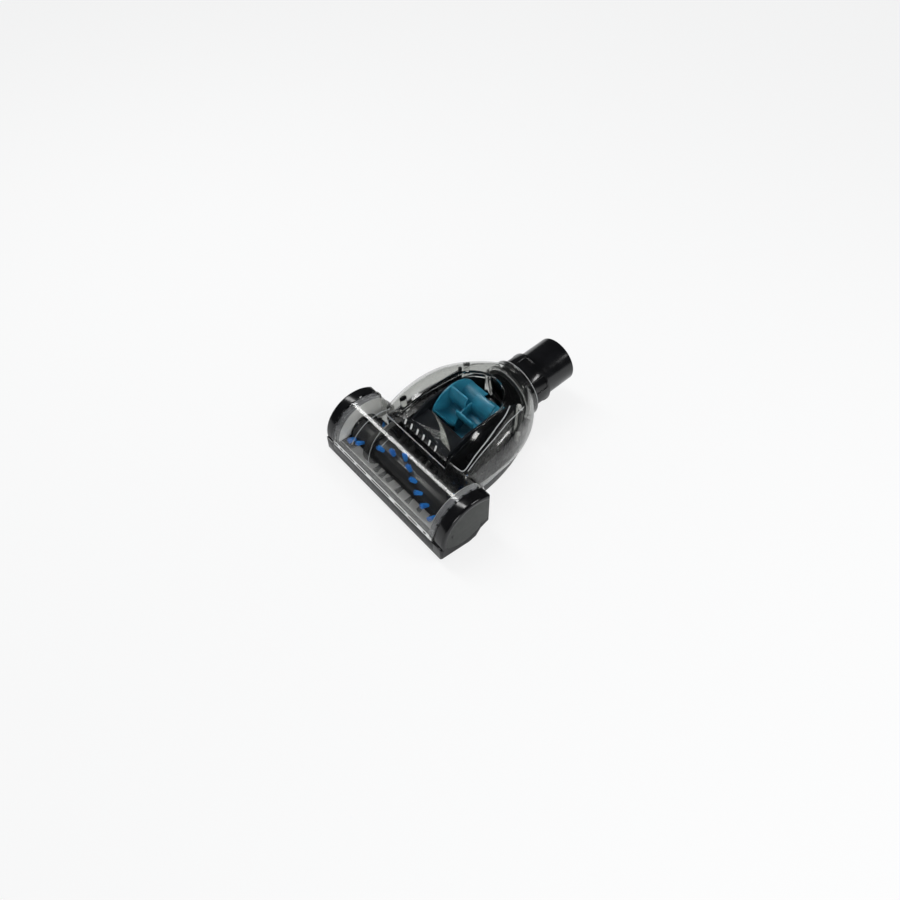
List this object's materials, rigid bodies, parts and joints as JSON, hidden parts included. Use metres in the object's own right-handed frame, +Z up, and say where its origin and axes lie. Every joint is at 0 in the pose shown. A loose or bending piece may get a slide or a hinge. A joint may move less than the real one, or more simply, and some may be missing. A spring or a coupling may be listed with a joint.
{
  "type": "vacuum turbo brush",
  "caption": "Air-driven turbo brush head: clear hood and bell over a belt-driven tufted roll and a bladed turbine, with black base, end caps and a swivelling hose neck.",
  "frame": {"origin": "centre of the overall box, on the floor under the sole", "axes": "+Y from the brush roll to the hose end, +X across the head, +Z up"},
  "size_m": [0.155, 0.2029, 0.0642],
  "materials": {
    "base_plastic": "satin black ABS",
    "clear_plastic": "clear polycarbonate",
    "gloss_black": "gloss black ABS",
    "satin_grey": "satin dark grey",
    "roller_black": "smooth black",
    "blue_bristle": "nylon bristle",
    "black_bristle": "nylon bristle",
    "steel": "ground",
    "rubber": "moulded",
    "brass": "machined",
    "teal_plastic": "moulded teal"
  },
  "bodies": {
    "housing": {"base_housing": "base_plastic", "top_cover": "clear_plastic", "turbine_window": "clear_plastic", "left_end_cap": "gloss_black", "right_end_cap": "gloss_black", "left_cap_face": "satin_grey", "right_cap_face": "satin_grey", "left_brush_bearing": "steel", "right_brush_bearing": "steel", "left_bearing_cup": "rubber", "right_bearing_cup": "rubber", "drive_belt": "rubber", "belt_cover": "base_plastic", "left_turbine_bearing": "steel", "right_turbine_bearing": "steel", "left_bearing_mount": "rubber", "right_bearing_mount": "rubber", "turbine_duct": "base_plastic", "neck_seal": "rubber", "housing_screws": "steel"},
    "brush": {"brush_tube": "roller_black", "blue_tufts": "blue_bristle", "black_tufts": "black_bristle", "brush_axle": "steel", "brush_pulley": "roller_black"},
    "turbine": {"turbine_wheel": "teal_plastic", "turbine_shaft": "steel", "turbine_pinion": "brass"},
    "neck": {"neck_tube": "gloss_black", "neck_collar": "gloss_black"}
  },
  "joints": [
    {"name": "brush_spin", "type": "hinge", "parent": "housing", "child": "brush", "pos_m": [0, -0.07404, 0.02], "axis": [1, 0, 0], "continuous": true},
    {"name": "turbine_spin", "type": "hinge", "parent": "housing", "child": "turbine", "pos_m": [0, -0.00454, 0.0345], "axis": [1, 0, 0], "continuous": true},
    {"name": "neck_swivel", "type": "hinge", "parent": "housing", "child": "neck", "pos_m": [0, 0.05006, 0.0346], "axis": [0, 0.9969, 0.0785], "continuous": true}
  ],
  "couplings": [
    {"joint": "brush_spin", "follows": "turbine_spin", "ratio": 0.4}
  ]
}
